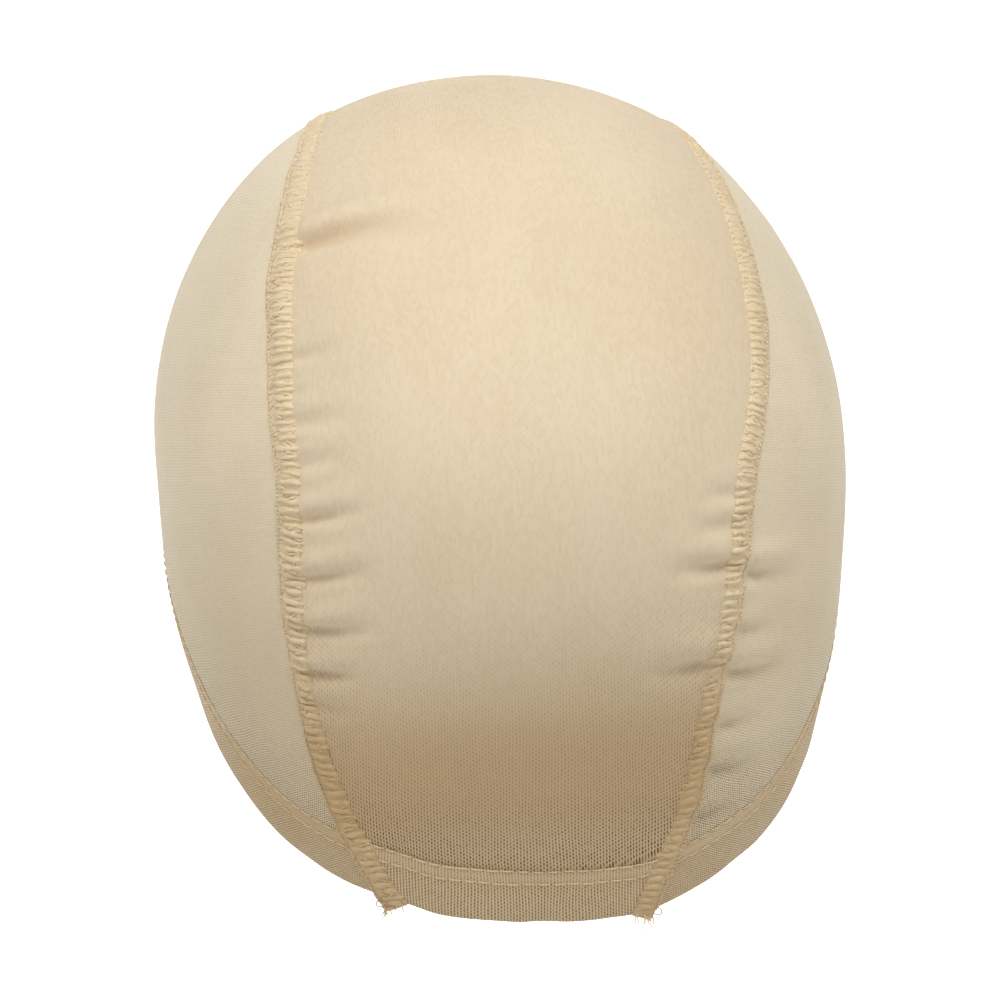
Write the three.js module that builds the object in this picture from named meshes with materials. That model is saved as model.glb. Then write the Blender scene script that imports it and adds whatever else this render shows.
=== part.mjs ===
// Stretch-net dome cap for wearing under a wig, kept in its worn shape.
//
// Millimetres, +Z up, +Y to the back of the cap, +X to its left as worn.  The
// origin is the innermost point of the crown, where the cap is held up.
//
// A centre panel runs over the dome from forehead to nape, a side panel hangs on
// each side of it, an overlocked seam allowance lies on each side panel beside the
// joint, and the free edge of every panel is turned under to a doubled hem.
import * as THREE from 'three';

// ---------------------------------------------------------------- driving sizes
const WALL = 1.0; //             one layer of net
const HEM_WALL = 1.6; //         net turned under, the extra layer on the inside
const HEM_DEPTH = 12.5; //       free edge to the upper row of stitches
const ALLOWANCE_WALL = 1.0; //   overlocked seam allowance
const ALLOWANCE_WIDTH = 5.8;
const ALLOWANCE_START = 0.25; // from the joint line to the allowance
const GAP = 0.3; //              between neighbouring pieces
const SHELL_CENTRE = -87.0; //   height of the point that the shell radii start from
const SQUARENESS = 0.28; //      how far the level sections swell past an ellipse
const ROW_PITCH = 7.0; //        degrees between plain rows of facets
const PANEL_COLUMNS = 5; //      plain columns between the two pleated margins

// Outer face of the worn cap: radius from the shell centre by tilt from upright.
const SHELL = [
  { tilt: 0, left: 88.0, right: 88.0, back: 88.0, front: 88.0 },
  { tilt: 15, left: 88.0, right: 86.8, back: 88.2, front: 88.0 },
  { tilt: 30, left: 87.2, right: 85.3, back: 88.8, front: 88.4 },
  { tilt: 45, left: 84.1, right: 81.6, back: 89.8, front: 90.0 },
  { tilt: 60, left: 80.6, right: 78.5, back: 91.8, front: 92.6 },
  { tilt: 75, left: 77.3, right: 76.4, back: 95.0, front: 95.0 },
  { tilt: 90, left: 75.1, right: 75.3, back: 97.0, front: 94.5 },
  { tilt: 105, left: 76.6, right: 76.3, back: 96.8, front: 93.0 },
  { tilt: 120, left: 80.9, right: 81.2, back: 95.6, front: 92.5 },
  { tilt: 130, left: 86.9, right: 86.4, back: 96.8, front: 93.0 },
  { tilt: 140, left: 95.0, right: 95.0, back: 101.5, front: 95.0 },
  { tilt: 150, left: 102.5, right: 103.0, back: 111.5, front: 99.0 },
  { tilt: 160, left: 110.5, right: 111.0, back: 126.0, front: 104.0 },
];

// Joint lines: distance of each from the middle, by station.  Stations are degrees
// about the X axis through the shell centre: 0 front, 90 crown, 180 back.
const JOINT = [
  { station: 5, left: 41.0, right: 41.0 },
  { station: 50, left: 35.0, right: 38.5 },
  { station: 92, left: 31.8, right: 39.6 },
  { station: 127, left: 40.4, right: 46.2 },
  { station: 147, left: 45.3, right: 49.1 },
  { station: 166, left: 47.0, right: 48.7 },
  { station: 183, left: 46.9, right: 43.4 },
  { station: 198, left: 47.3, right: 40.0 },
  { station: 213, left: 45.8, right: 34.7 },
  { station: 229, left: 39.1, right: 29.0 },
  { station: 238, left: 29.4, right: 20.7 },
  { station: 248, left: 14.0, right: 10.0 },
];

// Free edge: height by bearing, in degrees round from the middle of the back.
const EDGE = [
  { bearing: 0, left: -181.8, right: -181.8 },
  { bearing: 12, left: -180.6, right: -182.0 },
  { bearing: 25, left: -177.6, right: -180.4 },
  { bearing: 48, left: -166.0, right: -168.3 },
  { bearing: 70, left: -145.4, right: -148.0 },
  { bearing: 90, left: -123.0, right: -126.0 },
  { bearing: 120, left: -96.5, right: -98.0 },
  { bearing: 150, left: -75.5, right: -75.5 },
  { bearing: 168, left: -67.8, right: -67.8 },
  { bearing: 180, left: -67.0, right: -67.0 },
];

// Puckers that the tight seams pull in the net, each a valley across the joint.
const FOLDS = [
  { panel: 'center', seam: 'left', station: 140, depth: 0.7, half: 3.6, reach: 20, slant: -0.15 },
  { panel: 'center', seam: 'left', station: 161, depth: 0.4, half: 2.6, reach: 12, slant: 0 },
  { panel: 'center', seam: 'left', station: 171, depth: 0.4, half: 2.6, reach: 12, slant: 0 },
  { panel: 'center', seam: 'left', station: 177, depth: 0.4, half: 2.6, reach: 12, slant: 0 },
  { panel: 'center', seam: 'left', station: 185, depth: 0.8, half: 3.0, reach: 15, slant: 0 },
  { panel: 'center', seam: 'left', station: 194, depth: 0.8, half: 3.0, reach: 15, slant: 0 },
  { panel: 'center', seam: 'left', station: 202, depth: 0.9, half: 3.0, reach: 16, slant: 0 },
  { panel: 'center', seam: 'left', station: 209, depth: 0.8, half: 2.8, reach: 13, slant: 0 },
  { panel: 'center', seam: 'left', station: 214, depth: 0.4, half: 2.4, reach: 10, slant: 0 },
  { panel: 'center', seam: 'right', station: 184, depth: 0.4, half: 2.6, reach: 12, slant: 0 },
  { panel: 'center', seam: 'right', station: 189, depth: 0.4, half: 2.6, reach: 12, slant: 0 },
  { panel: 'center', seam: 'right', station: 195, depth: 0.9, half: 3.0, reach: 16, slant: 0 },
  { panel: 'center', seam: 'right', station: 208, depth: 0.9, half: 3.0, reach: 16, slant: 0 },
  { panel: 'side', seam: 'right', station: 196, depth: 0.9, half: 3.2, reach: 17, slant: 0 },
  { panel: 'side', seam: 'right', station: 204, depth: 0.5, half: 2.6, reach: 12, slant: 0 },
  { panel: 'side', seam: 'right', station: 210, depth: 0.9, half: 3.2, reach: 18, slant: 0 },
  { panel: 'side', seam: 'right', station: 218, depth: 0.5, half: 2.6, reach: 12, slant: 0 },
  { panel: 'side', seam: 'right', station: 224, depth: 0.8, half: 3.0, reach: 15, slant: 0 },
];

// ------------------------------------------------------------------ small tools
const rad = THREE.MathUtils.degToRad;
const deg = THREE.MathUtils.radToDeg;
const lerp = THREE.MathUtils.lerp;
const centre = new THREE.Vector3(0, 0, SHELL_CENTRE);

// Smooth curve through one column of a table, by another column.
function read(table, by, column, at) {
  const last = table.length - 1;
  const x = Math.min(Math.max(at, table[0][by]), table[last][by]);
  let i = 0;
  while (i < last - 1 && x > table[i + 1][by]) i += 1;
  const slope = (k) => {
    const a = table[Math.max(k - 1, 0)];
    const b = table[Math.min(k + 1, last)];
    return (b[column] - a[column]) / (b[by] - a[by]);
  };
  const run = table[i + 1][by] - table[i][by];
  const t = (x - table[i][by]) / run;
  const [p, q] = [table[i][column], table[i + 1][column]];
  const [u, v] = [slope(i) * run, slope(i + 1) * run];
  return p + t * (u + t * (3 * (q - p) - 2 * u - v + t * (2 * (p - q) + u + v)));
}

// The value where a falling or rising test changes sign.
function solve(test, low, high) {
  const start = Math.sign(test(low));
  let [a, b] = [low, high];
  for (let k = 0; k < 36; k += 1) {
    const m = (a + b) / 2;
    if (Math.sign(test(m)) === start) a = m;
    else b = m;
  }
  return (a + b) / 2;
}

const steps = (from, to, count) => Array.from({ length: count + 1 }, (_, k) => lerp(from, to, k / count));

// ------------------------------------------------------------------- worn shell
function shellRadius(direction) {
  const tilt = Math.acos(THREE.MathUtils.clamp(direction.z, -1, 1));
  const round = Math.hypot(direction.x, direction.y) || 1;
  const across = Math.abs(direction.x) / round;
  const along = Math.abs(direction.y) / round;
  const side = read(SHELL, 'tilt', direction.x >= 0 ? 'left' : 'right', deg(tilt));
  const length = read(SHELL, 'tilt', direction.y >= 0 ? 'back' : 'front', deg(tilt));
  const power = 2 + SQUARENESS * Math.sin(Math.min(tilt, Math.PI / 2)) ** 2;
  return ((across / side) ** power + (along / length) ** power) ** (-1 / power);
}

// Moves any point straight out from the shell centre onto the outer face.
function ontoShell(point) {
  const direction = point.clone().sub(centre).normalize();
  return direction.multiplyScalar(shellRadius(direction)).add(centre);
}

function shellNormal(point) {
  const out = point.clone().sub(centre).normalize();
  const u = new THREE.Vector3(0, 0, 1).cross(out);
  if (u.length() < 0.01) u.set(1, 0, 0);
  u.normalize();
  const v = out.clone().cross(u);
  const slopeAlong = (w) => ontoShell(point.clone().addScaledVector(w, 0.5))
    .sub(ontoShell(point.clone().addScaledVector(w, -0.5)));
  return slopeAlong(u).cross(slopeAlong(v)).normalize();
}

// Point on the outer face at a distance from the middle and a station.
function atStation(x, station) {
  const [c, s] = [-Math.cos(rad(station)), Math.sin(rad(station))];
  const reach = solve((q) => {
    const p = new THREE.Vector3(x, c * q, s * q);
    const length = p.length();
    return length - shellRadius(p.divideScalar(length));
  }, 10, 150);
  return new THREE.Vector3(x, c * reach, s * reach + SHELL_CENTRE);
}

const stationOf = (p) => (deg(Math.atan2(p.z - SHELL_CENTRE, -p.y)) + 360) % 360;
const bearingOf = (p) => deg(Math.atan2(p.x, p.y));

function atHeight(bearing, height) {
  const [x, y] = [Math.sin(rad(bearing)), Math.cos(rad(bearing))];
  const place = (tilt) => ontoShell(new THREE.Vector3(
    x * Math.sin(rad(tilt)), y * Math.sin(rad(tilt)), Math.cos(rad(tilt)) + SHELL_CENTRE));
  return place(solve((tilt) => place(tilt).z - height, 30, 160));
}

const edgeHeight = (bearing) => read(EDGE, 'bearing', bearing >= 0 ? 'left' : 'right', Math.abs(bearing));

// Height of the line that runs on the cloth at a set distance up from the free edge.
function rimHeight(bearing, depth) {
  const low = edgeHeight(bearing);
  const here = atHeight(bearing, low);
  const climb = here.distanceTo(atHeight(bearing, low + 1));
  const turn = rad(2) * Math.hypot(here.x, here.y);
  const fall = (edgeHeight(bearing + 1) - edgeHeight(bearing - 1)) * climb / turn;
  return low + depth * Math.hypot(1, fall) / climb;
}

const rimPoint = (bearing, depth) => atHeight(bearing, rimHeight(bearing, depth));

// ---------------------------------------------------------------- joint and ends
const jointX = (side, station) => (side > 0 ? 1 : -1)
  * read(JOINT, 'station', side > 0 ? 'left' : 'right', station);

// Point on the shell beside a joint line, measured square to it, away from the middle.
function besideJoint(side, station, away) {
  const at = atStation(jointX(side, station), station);
  const ahead = atStation(jointX(side, station + 0.5), station + 0.5);
  const back = atStation(jointX(side, station - 0.5), station - 0.5);
  const outward = ahead.sub(back).cross(shellNormal(at)).normalize();
  if (outward.x * side < 0) outward.negate();
  return ontoShell(at.addScaledVector(outward, away));
}

// Station where a line on the shell comes down to a set distance from the free edge.
function endStation(line, depth, end) {
  const test = (station) => {
    const p = line(station);
    return p.z - rimHeight(bearingOf(p), depth);
  };
  return end === 'back' ? solve(test, 200, 247) : solve(test, 70, 6);
}

// Bearing where a rim line reaches a joint.
function endBearing(side, depth, away, end) {
  const test = (bearing) => {
    const p = rimPoint(side * bearing, depth);
    const gap = (jointX(side, stationOf(p)) - p.x) * side + away;
    return gap;
  };
  return end === 'back' ? solve(test, 60, 8) : solve(test, 110, 172);
}

// ------------------------------------------------------------------------ folds
const bell = (u) => (Math.abs(u) < 1 ? 0.5 + 0.5 * Math.cos(Math.PI * u) : 0);

function foldLift(panel, seam, station, away) {
  let lift = 0;
  for (const fold of FOLDS) {
    if (fold.panel !== panel || fold.seam !== seam) continue;
    const begin = panel === 'side' ? ALLOWANCE_START + ALLOWANCE_WIDTH : 0;
    const run = (away - begin) / fold.reach;
    if (run < 0 || run > 1) continue;
    const across = rad(station - fold.station - fold.slant * away) * -SHELL_CENTRE;
    const rise = panel === 'side' ? Math.min(1, run * 6) : 1;
    lift -= fold.depth * rise * (1 - run * run) * bell(across / fold.half);
  }
  return lift;
}

// Stations of the rows of facets: plain rows, and three for each fold.
function rowStations(panel, seams, from, to) {
  const rows = steps(from, to, Math.round((to - from) / ROW_PITCH));
  for (const fold of FOLDS) {
    if (fold.panel !== panel || !seams.includes(fold.seam)) continue;
    const half = deg(fold.half / -SHELL_CENTRE);
    rows.push(fold.station - half, fold.station, fold.station + half);
  }
  rows.sort((a, b) => a - b);
  const kept = [rows[0]];
  for (const row of rows) if (row - kept[kept.length - 1] > 0.9) kept.push(row);
  kept[kept.length - 1] = to;
  return kept;
}

// ------------------------------------------------------------------ cloth bodies
// Closed wall between two lifts, over a grid of points on the outer face.
function clothWall(name, grid, bottom, top, material) {
  const [rows, columns] = [grid.length, grid[0].length];
  const position = [];
  for (const lift of [top, bottom]) {
    for (const row of grid) {
      for (const { point, fold } of row) {
        const p = point.clone().addScaledVector(shellNormal(point), lift + fold);
        position.push(p.x, p.y, p.z);
      }
    }
  }
  const at = (layer, i, j) => layer * rows * columns + i * columns + j;
  const index = [];
  const quad = (a, b, c, d) => index.push(a, b, c, a, c, d);
  for (let i = 0; i < rows - 1; i += 1) {
    for (let j = 0; j < columns - 1; j += 1) {
      quad(at(0, i, j), at(0, i, j + 1), at(0, i + 1, j + 1), at(0, i + 1, j));
      quad(at(1, i, j), at(1, i + 1, j), at(1, i + 1, j + 1), at(1, i, j + 1));
    }
    quad(at(0, i, 0), at(0, i + 1, 0), at(1, i + 1, 0), at(1, i, 0));
    quad(at(0, i, columns - 1), at(1, i, columns - 1), at(1, i + 1, columns - 1), at(0, i + 1, columns - 1));
  }
  for (let j = 0; j < columns - 1; j += 1) {
    quad(at(0, 0, j), at(1, 0, j), at(1, 0, j + 1), at(0, 0, j + 1));
    quad(at(0, rows - 1, j), at(0, rows - 1, j + 1), at(1, rows - 1, j + 1), at(1, rows - 1, j));
  }
  // Turn the facets over when the grid runs the other way round.
  const v = (k) => new THREE.Vector3().fromArray(position, 3 * k);
  let volume = 0;
  for (let k = 0; k < index.length; k += 3) {
    volume += v(index[k]).dot(v(index[k + 1]).cross(v(index[k + 2])));
  }
  if (volume < 0) for (let k = 0; k < index.length; k += 3) [index[k], index[k + 1]] = [index[k + 1], index[k]];
  const geometry = new THREE.BufferGeometry();
  geometry.setAttribute('position', new THREE.Float32BufferAttribute(position, 3));
  geometry.setIndex(index);
  geometry.computeVertexNormals();
  const mesh = new THREE.Mesh(geometry, material);
  mesh.name = name;
  return mesh;
}

const cloth = (color, roughness) => new THREE.MeshStandardMaterial({ color, roughness, metalness: 0, side: THREE.FrontSide });
const netMaterial = cloth(0xdfceb0, 0.85);
const sideNetMaterial = cloth(0xd9c9ad, 0.85);
const hemMaterial = cloth(0xcdb892, 0.88);
const threadMaterial = cloth(0xe6d9bd, 0.75);

const group = new THREE.Group();
group.name = 'wig_cap';

// ---------------------------------------------------------------- centre panel
// Columns are close together in the pleated margins beside the joints.
const MARGIN = [0, 0.05, 0.11, 0.19];
const columns = [
  ...MARGIN,
  ...steps(0.19, 0.81, PANEL_COLUMNS).slice(1, -1),
  ...MARGIN.map((f) => 1 - f).reverse(),
];
const crossX = (f, station) => lerp(jointX(-1, station) + GAP / 2, jointX(1, station) - GAP / 2, f);
const panelLine = (f) => (station) => atStation(crossX(f, station), station);

// Plain rows keep their station; the last ones are drawn to the curved hem lines.
function fitEnds(station, from, to, ends) {
  const [keepFrom, keepTo] = [40, 216];
  if (station < keepFrom) return lerp(keepFrom, ends.front, (keepFrom - station) / (keepFrom - from));
  if (station > keepTo) return lerp(keepTo, ends.back, (station - keepTo) / (to - keepTo));
  return station;
}

const panelDepth = HEM_DEPTH + GAP;
const panelEnds = columns.map((f) => ({
  front: endStation(panelLine(f), panelDepth, 'front'),
  back: endStation(panelLine(f), panelDepth, 'back'),
}));
const middleEnds = panelEnds[Math.floor(columns.length / 2)];
const centreRows = rowStations('center', ['left', 'right'], middleEnds.front, middleEnds.back);
const centreGrid = centreRows.map((row) => columns.map((f, j) => {
  const station = fitEnds(row, middleEnds.front, middleEnds.back, panelEnds[j]);
  const point = panelLine(f)(station);
  const fold = foldLift('center', 'left', station, jointX(1, station) - point.x)
    + foldLift('center', 'right', station, point.x - jointX(-1, station));
  return { point, fold };
}));
group.add(clothWall('center_panel', centreGrid, -WALL, 0, netMaterial));

// Hems on the two ends of the centre panel, on the same columns.
for (const end of ['front', 'back']) {
  const grid = [0, HEM_DEPTH / 2, HEM_DEPTH].map((depth) => columns.map((f) => {
    const line = panelLine(f);
    return { point: line(endStation(line, depth, end)), fold: 0 };
  }));
  group.add(clothWall(`hem_${end}`, grid, -HEM_WALL, 0, hemMaterial));
}

// ------------------------------------------------------- side panels and their hems
const CORNER = 0.008; // share of the joint that each blunt corner stops short
for (const side of [1, -1]) {
  const name = side > 0 ? 'left' : 'right';
  const joint = (station) => besideJoint(side, station, GAP / 2);
  const stations = {
    front: endStation(joint, panelDepth, 'front'),
    back: endStation(joint, panelDepth, 'back'),
  };
  const bearings = {
    front: endBearing(side, panelDepth, GAP / 2, 'front'),
    back: endBearing(side, panelDepth, GAP / 2, 'back'),
  };
  const span = stations.back - stations.front;
  const rows = rowStations('side', [name], stations.front + CORNER * span, stations.back - CORNER * span);
  const rims = rows.map((row) => side * lerp(bearings.front, bearings.back, (row - stations.front) / span));
  const drops = [0, 0.03, 0.065, 0.12, 0.2, 0.3, 0.42, 0.54, 0.66, 0.78, 0.89, 1];
  const grid = rows.map((row, i) => {
    const top = joint(row);
    const bottom = rimPoint(rims[i], panelDepth);
    const drop = top.distanceTo(bottom);
    // Close columns sit at fixed distances from the joint where the panel is deep enough.
    return drops.map((t) => {
      const share = lerp(t, Math.min(1, t * 90 / drop), Math.min(1, drop / 90) * (1 - t) ** 4);
      const point = ontoShell(top.clone().lerp(bottom, share));
      return { point, fold: share < 1 ? foldLift('side', name, row, top.distanceTo(point)) : 0 };
    });
  });
  group.add(clothWall(`side_panel_${name}`, grid, -WALL, 0, sideNetMaterial));

  const hemGrid = [0, HEM_DEPTH / 2, HEM_DEPTH].map((depth) => {
    const first = side * endBearing(side, depth, GAP / 2, 'front');
    const last = side * endBearing(side, depth, GAP / 2, 'back');
    const between = rims.slice(1, -1).filter((b) => Math.abs(b) < Math.abs(first) - 1 && Math.abs(b) > Math.abs(last) + 1);
    return { first, last, between };
  });
  const shared = rims.slice(1, -1).filter((b) => hemGrid.every((line) => line.between.includes(b)));
  group.add(clothWall(`hem_${name}`, hemGrid.map((line, k) => [line.first, ...shared, line.last]
    .map((bearing) => ({ point: rimPoint(bearing, [0, HEM_DEPTH / 2, HEM_DEPTH][k]), fold: 0 }))),
  -HEM_WALL, 0, hemMaterial));

  // Overlocked allowance, lying on the side panel from free edge to free edge.
  const strips = [ALLOWANCE_START, ALLOWANCE_START + ALLOWANCE_WIDTH / 2, ALLOWANCE_START + ALLOWANCE_WIDTH];
  const stripEnds = strips.map((away) => {
    const line = (station) => besideJoint(side, station, away);
    return { line, front: endStation(line, 0.2, 'front'), back: endStation(line, 0.2, 'back') };
  });
  const count = Math.round((stations.back - stations.front) / 6);
  const seamGrid = steps(0, 1, count).map((s) => stripEnds.map(({ line, front, back }) => (
    { point: line(lerp(front, back, s)), fold: 0 })));
  group.add(clothWall(`seam_${name}`, seamGrid, GAP, GAP + ALLOWANCE_WALL, threadMaterial));
}

export default group;
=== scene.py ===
import math

import bpy
import numpy as np
from mathutils import Matrix, Vector


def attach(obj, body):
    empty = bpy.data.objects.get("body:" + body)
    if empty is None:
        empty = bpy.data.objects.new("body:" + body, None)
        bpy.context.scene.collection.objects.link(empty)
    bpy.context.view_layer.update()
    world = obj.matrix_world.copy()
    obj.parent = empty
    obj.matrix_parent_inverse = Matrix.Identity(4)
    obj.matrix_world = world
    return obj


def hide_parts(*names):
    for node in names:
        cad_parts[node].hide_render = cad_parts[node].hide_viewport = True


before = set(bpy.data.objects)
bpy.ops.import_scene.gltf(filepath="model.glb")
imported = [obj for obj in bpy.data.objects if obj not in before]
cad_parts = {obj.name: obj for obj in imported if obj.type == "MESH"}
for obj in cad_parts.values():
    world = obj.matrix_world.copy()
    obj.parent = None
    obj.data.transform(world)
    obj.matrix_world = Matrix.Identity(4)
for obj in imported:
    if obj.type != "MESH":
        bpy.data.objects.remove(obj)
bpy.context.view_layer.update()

MM = 0.001
rng = np.random.default_rng(7)

# ------------------------------------------------------------------ camera
# The photo's view: from behind, a little from the wearer's left, the cap leaning a little.
PIX = 1000.0
PX_PER_MM = 4.54          # at the middle of the cap
DISTANCE = 1300.0
YAW, ROLL = math.radians(3.9), math.radians(3.3)
TARGET_PIXEL = (499.0, 474.5)
TARGET = Vector((0.0, 0.0, -87.0))

cam_data = bpy.data.cameras.new("camera")
camera = bpy.data.objects.new("camera", cam_data)
bpy.context.scene.collection.objects.link(camera)
bpy.context.scene.camera = camera
cam_data.sensor_width = 36.0
cam_data.lens = PX_PER_MM * DISTANCE * cam_data.sensor_width / PIX
cam_data.shift_x = (PIX / 2 - TARGET_PIXEL[0]) / PIX
cam_data.shift_y = (TARGET_PIXEL[1] - PIX / 2) / PIX
cam_data.clip_start = 0.05
away = Vector((math.sin(YAW), math.cos(YAW), 0.0))
right = Vector((-math.cos(YAW), math.sin(YAW), 0.0))
up = Vector((0.0, 0.0, 1.0))
basis = Matrix((right, up, away)).transposed() @ Matrix.Rotation(-ROLL, 3, "Z")
camera.matrix_world = Matrix.Translation((TARGET + away * DISTANCE) * MM) @ basis.to_4x4()

# ------------------------------------------------------------------ lights
def area_light(name, place, aim, size, watts, color=(1, 1, 1)):
    data = bpy.data.lights.new(name, "AREA")
    data.shape = "RECTANGLE"
    data.size, data.size_y = size
    data.energy = watts
    data.color = color
    lamp = bpy.data.objects.new(name, data)
    bpy.context.scene.collection.objects.link(lamp)
    lamp.location = place
    lamp.rotation_euler = (Vector(aim) - Vector(place)).to_track_quat("-Z", "Y").to_euler()
    return lamp


area_light("key_top", (0.08, 0.86, 0.84), (0, 0, -0.05), (1.1, 0.6), 8.8, (1.0, 0.99, 0.975))
area_light("fill_left", (1.05, 0.72, 1.05), (0, 0, -0.08), (0.8, 0.6), 5.4, (1.0, 0.99, 0.98))
area_light("fill_right", (-1.05, 0.75, 1.1), (0, 0, -0.09), (0.7, 0.6), 7.8, (1.0, 0.99, 0.98))
area_light("backdrop", (0, -0.9, 1.1), (0, -2.2, 0.0), (2.6, 0.8), 60.0)

world = bpy.data.worlds.new("studio")
bpy.context.scene.world = world
world.use_nodes = True
world.node_tree.nodes["Background"].inputs["Color"].default_value = (1.0, 1.0, 1.0, 1.0)
world.node_tree.nodes["Background"].inputs["Strength"].default_value = 0.20
bpy.context.scene.view_settings.view_transform = "Standard"

# ------------------------------------------------------------------ worn shell
CENTRE = np.array([0.0, 0.0, -87.0])
SQUARENESS = 0.28
HEM_DEPTH = 12.5
STITCH_ROWS = (12.35, 9.3)
ALLOWANCE_START, ALLOWANCE_WIDTH = 0.25, 5.8

SHELL = {
    "tilt": (0, 15, 30, 45, 60, 75, 90, 105, 120, 130, 140, 150, 160),
    "left": (88.0, 88.0, 87.2, 84.1, 80.6, 77.3, 75.1, 76.6, 80.9, 86.9, 95.0, 102.5, 110.5),
    "right": (88.0, 86.8, 85.3, 81.6, 78.5, 76.4, 75.3, 76.3, 81.2, 86.4, 95.0, 103.0, 111.0),
    "back": (88.0, 88.2, 88.8, 89.8, 91.8, 95.0, 97.0, 96.8, 95.6, 96.8, 101.5, 111.5, 126.0),
    "front": (88.0, 88.0, 88.4, 90.0, 92.6, 95.0, 94.5, 93.0, 92.5, 93.0, 95.0, 99.0, 104.0),
}
JOINT = {
    "station": (5, 50, 92, 127, 147, 166, 183, 198, 213, 229, 238, 248),
    "left": (41.0, 35.0, 31.8, 40.4, 45.3, 47.0, 46.9, 47.3, 45.8, 39.1, 29.4, 14.0),
    "right": (41.0, 38.5, 39.6, 46.2, 49.1, 48.7, 43.4, 40.0, 34.7, 29.0, 20.7, 10.0),
}
EDGE = {
    "bearing": (0, 12, 25, 48, 70, 90, 120, 150, 168, 180),
    "left": (-181.8, -180.6, -177.6, -166.0, -145.4, -123.0, -96.5, -75.5, -67.8, -67.0),
    "right": (-181.8, -182.0, -180.4, -168.3, -148.0, -126.0, -98.0, -75.5, -67.8, -67.0),
}


def read(table, by, column, at):
    """Smooth curve through one column of a table, by another."""
    x = np.asarray(table[by], float)
    y = np.asarray(table[column], float)
    at = np.clip(np.asarray(at, float), x[0], x[-1])
    slope = np.empty_like(y)
    slope[1:-1] = (y[2:] - y[:-2]) / (x[2:] - x[:-2])
    slope[0] = (y[1] - y[0]) / (x[1] - x[0])
    slope[-1] = (y[-1] - y[-2]) / (x[-1] - x[-2])
    i = np.clip(np.searchsorted(x, at, side="left") - 1, 0, len(x) - 2)
    run = x[i + 1] - x[i]
    t = (at - x[i]) / run
    p, q, u, v = y[i], y[i + 1], slope[i] * run, slope[i + 1] * run
    return p + t * (u + t * (3 * (q - p) - 2 * u - v + t * (2 * (p - q) + u + v)))


def shell_radius(d):
    tilt = np.arccos(np.clip(d[..., 2], -1, 1))
    round_ = np.hypot(d[..., 0], d[..., 1])
    round_ = np.where(round_ == 0, 1, round_)
    across, along = np.abs(d[..., 0]) / round_, np.abs(d[..., 1]) / round_
    deg = np.degrees(tilt)
    side = np.where(d[..., 0] >= 0, read(SHELL, "tilt", "left", deg), read(SHELL, "tilt", "right", deg))
    length = np.where(d[..., 1] >= 0, read(SHELL, "tilt", "back", deg), read(SHELL, "tilt", "front", deg))
    power = 2 + SQUARENESS * np.sin(np.minimum(tilt, math.pi / 2)) ** 2
    return ((across / side) ** power + (along / length) ** power) ** (-1 / power)


def unit(v):
    return v / np.maximum(np.linalg.norm(v, axis=-1, keepdims=True), 1e-9)


def onto_shell(p):
    d = unit(p - CENTRE)
    return CENTRE + d * shell_radius(d)[..., None]


def shell_normal(p):
    out = unit(p - CENTRE)
    u = np.cross(np.array([0.0, 0.0, 1.0]), out)
    flat = np.linalg.norm(u, axis=-1) < 0.01
    u[flat] = (1.0, 0.0, 0.0)
    u = unit(u)
    v = np.cross(out, u)
    along = lambda w: onto_shell(p + 0.5 * w) - onto_shell(p - 0.5 * w)
    return unit(np.cross(along(u), along(v)))


def solve(test, low, high, rounds=24):
    low, high = np.array(low, float), np.array(high, float)
    start = np.sign(test(low))
    for _ in range(rounds):
        mid = (low + high) / 2
        same = np.sign(test(mid)) == start
        low, high = np.where(same, mid, low), np.where(same, high, mid)
    return (low + high) / 2


def at_station(x, station):
    x, station = np.broadcast_arrays(np.asarray(x, float), np.asarray(station, float))
    c, s = -np.cos(np.radians(station)), np.sin(np.radians(station))
    place = lambda q: np.stack([x, c * q, s * q], -1)
    def test(q):
        p = place(q)
        return np.linalg.norm(p, axis=-1) - shell_radius(unit(p))
    return place(solve(test, np.full(x.shape, 10.0), np.full(x.shape, 150.0))) + CENTRE


def station_of(p):
    return np.degrees(np.arctan2(p[..., 2] - CENTRE[2], -p[..., 1])) % 360


def bearing_of(p):
    return np.degrees(np.arctan2(p[..., 0], p[..., 1]))


def at_height(bearing, height):
    bearing, height = np.broadcast_arrays(np.asarray(bearing, float), np.asarray(height, float))
    b = np.radians(bearing)
    def place(tilt):
        t = np.radians(tilt)
        d = np.stack([np.sin(b) * np.sin(t), np.cos(b) * np.sin(t), np.cos(t)], -1)
        return CENTRE + d * shell_radius(d)[..., None]
    return place(solve(lambda t: place(t)[..., 2] - height, np.full(b.shape, 30.0), np.full(b.shape, 160.0)))


def edge_height(bearing):
    a = np.abs(bearing)
    return np.where(np.asarray(bearing) >= 0, read(EDGE, "bearing", "left", a), read(EDGE, "bearing", "right", a))


RIM_BEARINGS = np.linspace(-180, 180, 721)


def _rim_rates():
    low = edge_height(RIM_BEARINGS)
    here = at_height(RIM_BEARINGS, low)
    climb = np.linalg.norm(here - at_height(RIM_BEARINGS, low + 1), axis=-1)
    turn = math.radians(2) * np.hypot(here[:, 0], here[:, 1])
    fall = (edge_height(RIM_BEARINGS + 1) - edge_height(RIM_BEARINGS - 1)) * climb / turn
    return np.hypot(1, fall) / climb


RIM_RATE = _rim_rates()


def rim_height(bearing, depth):
    """Height of the line that runs on the cloth a set distance up from the free edge."""
    return edge_height(bearing) + depth * np.interp(bearing, RIM_BEARINGS, RIM_RATE)


def rim_point(bearing, depth):
    return at_height(bearing, rim_height(bearing, depth))


def rim_depth(p):
    """How far up from the free edge a point of the shell is."""
    b = bearing_of(p)
    return (p[..., 2] - edge_height(b)) / np.interp(b, RIM_BEARINGS, RIM_RATE)


def joint_x(side, station):
    return side * read(JOINT, "station", "left" if side > 0 else "right", station)


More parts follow.
